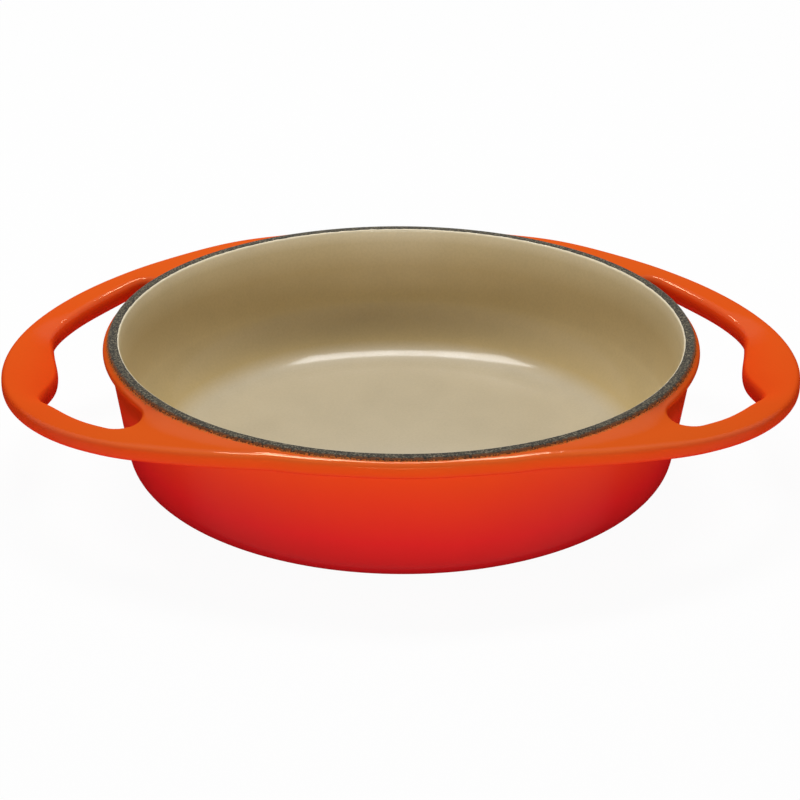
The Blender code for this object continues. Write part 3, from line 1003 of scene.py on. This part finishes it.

# %% [markdown]
# ## Sand enamel
# The inside coat is a satin, pale sand colour. It is fired thick, so it is even, with a faint
# mottle and pepper. It could be one flat colour, but a ramp follows the height: greyer on the
# floor, a darker brown in the curve above it, which is painted shade, and palest at the very rim,
# which is a painted highlight. A rough base carries the colour and a thin, smooth coat gives the
# lamp's arc.

# %% Sand enamel
sand = Finish("sand_enamel")
level = sand.math('DIVIDE', sand.axis(sand.place, "Z"), RIM_HEIGHT)
colour = sand.ramp(level, [
    (0.13, seen(192, 179, 151)),
    # painted shade: a darker brown in the curve above the floor
    (0.21, seen(196, 172, 119)),
    (0.45, seen(228, 207, 160)),
    (0.72, seen(213, 190, 142)),
    (0.9, seen(217, 198, 156)),
    # painted highlight: the palest colour along the rim's inner corner
    (0.99, seen(236, 223, 192)),
])
mottle = sand.spread(sand.grain(24.0 * MM, 3.0), 0.25, 0.75, 0.975, 1.02)
pepper = sand.spread(sand.grain(1.1 * MM, 2.0, 0.6), 0.3, 0.75, 1.02, 0.965)
shade = sand.math('MULTIPLY', mottle, pepper)
grey = sand.node("CombineColor", shade, shade, shade).outputs[0]
colour = sand.mix(1.0, colour, grey, 'MULTIPLY')
satin = sand.spread(sand.grain(12.0 * MM), 0.3, 0.7, 0.3, 0.4)
sand.set(base_color=colour, roughness=satin, coat_weight=0.28, coat_roughness=0.11,
         specular_ior_level=0.15)
finish_piece(inside_coat, sand)
print("sand enamel nodes:", len(sand.tree.nodes))

# %% [markdown]
# ## Ground coat
# The bare rim is flat and matte. Up close it is speckled: dark grey with paler grains, and stained
# brown along the outer corner where orange was wiped off. One fine noise serves three times, for
# the colour, the roughness and the relief, so that pale grains are also the ones that stand out.

# %% Ground coat
STAIN_FROM, STAIN_TO = RIM_OUTER - 1.4 * MM, RIM_OUTER - 0.2 * MM

ground = Finish("ground_coat")
grains = ground.grain(0.75 * MM, 3.0, 0.65)
colour = ground.ramp(ground.spread(grains, 0.32, 0.7), [
    (0.0, seen(32, 29, 26)),
    (0.4, seen(57, 53, 45)),
    (0.7, seen(90, 84, 69)),
    (1.0, seen(142, 134, 114)),
])
outer = ground.spread(ground.radius(), STAIN_FROM, STAIN_TO)
smear = ground.math('ADD', ground.grain(1.5 * MM, 3.0), ground.math('MULTIPLY', outer, 0.32))
wiped = ground.math('MULTIPLY', ground.spread(smear, 0.66, 0.8), outer)
colour = ground.mix(wiped, colour, seen(112, 70, 44))
ground.set(base_color=colour, roughness=ground.spread(grains, 0.3, 0.7, 0.5, 0.7),
           normal=ground.bump(grains, 0.08 * MM), specular_ior_level=0.08)
finish_piece(rim_band, ground)
print("ground coat nodes:", len(ground.tree.nodes))

# %% [markdown]
# ## Base coat
# Under the base the red coat is a darker, duller red, and scuffed on the foot ring that slides on
# hobs and shelves. The scuffs are one noise that browns the colour and roughens the gloss, and
# they are kept to the ring by its radius.

# %% Base coat finish
RING_INNER = FOOT_RADIUS - FOOT_WIDTH

duller = Finish("base_coat")
scuff = duller.spread(duller.grain(1.8 * MM, 4.0, 0.7), 0.55, 0.75)
ring = duller.spread(duller.radius(), RING_INNER - 1.0 * MM, RING_INNER + 1.0 * MM)
colour = duller.mix(duller.grain(25.0 * MM, 3.0), seen(150, 24, 28), seen(172, 30, 30))
worn = duller.math('MULTIPLY', duller.math('MULTIPLY', scuff, ring), 0.6)
colour = duller.mix(worn, colour, seen(74, 50, 46))
duller.set(base_color=colour, roughness=duller.spread(scuff, 0.0, 1.0, 0.28, 0.55),
           normal=duller.bump(duller.grain(2.5 * MM, 2.0), 0.03 * MM),
           coat_weight=0.2, coat_roughness=0.2)
finish_piece(base_coat, duller)
print("base coat nodes:", len(duller.tree.nodes))

# %% [markdown]
# ## Bare iron
# The iron itself stays hidden under the coats, but it is still finished as cast iron, so that it
# looks right wherever a coat is lifted away. It keeps the measured model's own mesh and only gets
# a better material: grey metal with the fine grain of the moulding sand.

# %% Cast iron
iron = Finish("cast_iron")
sand_marks = iron.grain(0.7 * MM, 3.0, 0.6)
colour = iron.mix(iron.spread(sand_marks, 0.3, 0.7), seen(58, 58, 60), seen(92, 92, 94))
iron.set(base_color=colour, metallic=0.85, roughness=iron.spread(sand_marks, 0.3, 0.7, 0.45, 0.7),
         normal=iron.bump(sand_marks, 0.1 * MM))
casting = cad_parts["iron_casting"]
for socket in casting.material_slots:
    socket.material = iron.material
print("casting slots:", len(casting.material_slots))

# %% [markdown]
# ## Lamps
# A soft lamp above and just behind the dish draws the thin arc of light in the bowl and the line
# along the lip. A second one, low in front, lights the wall. It could be higher, but then the
# bowl's back wall would mirror it, so it stays below the line from there over the front rim.

# %% Lamps
OVERHEAD_PLACE = (-0.06, 0.5, 1.3)
OVERHEAD_SIZE = (0.85, 0.3)
OVERHEAD_POWER = 17.2
FRONT_PLACE = (0.0, -2.0, 0.16)
FRONT_SIZE = (1.2, 0.3)
FRONT_POWER = 19.5
AIM_HEIGHT = 0.03


def soft_lamp(name, place, size, power):
    """A rectangular soft lamp that points at the dish."""
    lamp = bpy.data.objects.new(name, bpy.data.lights.new(name, 'AREA'))
    lamp.data.shape = 'RECTANGLE'
    lamp.data.size = size[0]
    lamp.data.size_y = size[1]
    lamp.data.energy = power
    lamp.location = place
    aim = Vector((0.0, 0.0, AIM_HEIGHT)) - Vector(place)
    lamp.rotation_euler = aim.to_track_quat('-Z', 'Y').to_euler()
    bpy.context.scene.collection.objects.link(lamp)


soft_lamp("overhead_lamp", OVERHEAD_PLACE, OVERHEAD_SIZE, OVERHEAD_POWER)
soft_lamp("front_lamp", FRONT_PLACE, FRONT_SIZE, FRONT_POWER)

# %% [markdown]
# ## A white floor that still takes a shadow
# The dish stands on a pale floor. Stronger lamps could make it white, but they would bleach the
# dish as well. So the floor is plain paper to the light, and glows white only to the rays that
# show it: those straight from the camera, mirrored, or passing through glass. A little of the
# paper is left in, and with it the dish's shadow.

# %% Floor
FLOOR_REACH = 4.0
FLOOR_DROP = 0.2 * MM
FLOOR_GLOW = 0.96
PAPER = (0.8, 0.8, 0.8, 1.0)

floor_mesh = bmesh.new()
bmesh.ops.create_grid(floor_mesh, x_segments=1, y_segments=1, size=FLOOR_REACH)
floor_data = bpy.data.meshes.new("floor")
floor_mesh.to_mesh(floor_data)
floor_mesh.free()
floor = bpy.data.objects.new("floor", floor_data)
floor.location.z = -FLOOR_DROP
bpy.context.scene.collection.objects.link(floor)


def light_rays(tree):
    """1 for rays that show the background: straight from the camera, mirrored or through glass."""
    path = tree.nodes.new("ShaderNodeLightPath")
    total = path.outputs["Is Camera Ray"]
    for name in ("Is Glossy Ray", "Is Transmission Ray"):
        either = tree.nodes.new("ShaderNodeMath")
        either.operation = 'MAXIMUM'
        tree.links.new(total, either.inputs[0])
        tree.links.new(path.outputs[name], either.inputs[1])
        total = either.outputs[0]
    return total


paper = Bench("pale_floor")
paper.set(base_color=PAPER, roughness=0.9)
share = paper.node("Math", light_rays(paper.tree), FLOOR_GLOW, operation='MULTIPLY').outputs[0]
glow = paper.node("Emission").outputs[0]
blend = paper.node("MixShader", share, paper.shader.outputs[0], glow).outputs[0]
paper.plug(blend, paper.tree.nodes["Material Output"].inputs["Surface"])
floor.data.materials.append(paper.material)
print("the floor lies", FLOOR_DROP / MM, "mm under the foot ring")

# %% [markdown]
# ## The world
# The world gives a weak, even light that opens the shadows. To the rays that show the background
# it is white as well, so that the horizon melts into the floor. The Standard view transform shows
# each colour about as it is written.

# %% World
AMBIENT = 0.12

world = bpy.data.worlds.new("studio")
bpy.context.scene.world = world
world.use_nodes = True
world_tree = world.node_tree
sky = world_tree.nodes["Background"]
tone = world_tree.nodes.new("ShaderNodeMix")
tone.data_type = 'RGBA'
tone.inputs[6].default_value = (AMBIENT, AMBIENT, AMBIENT, 1.0)
tone.inputs[7].default_value = (1.0, 1.0, 1.0, 1.0)
world_tree.links.new(light_rays(world_tree), tone.inputs["Factor"])
world_tree.links.new(tone.outputs[2], sky.inputs["Color"])
bpy.context.scene.view_settings.view_transform = 'Standard'
print("even light of the world:", AMBIENT)

# %% [markdown]
# The dressed dish has to stay inside the measured model's box.
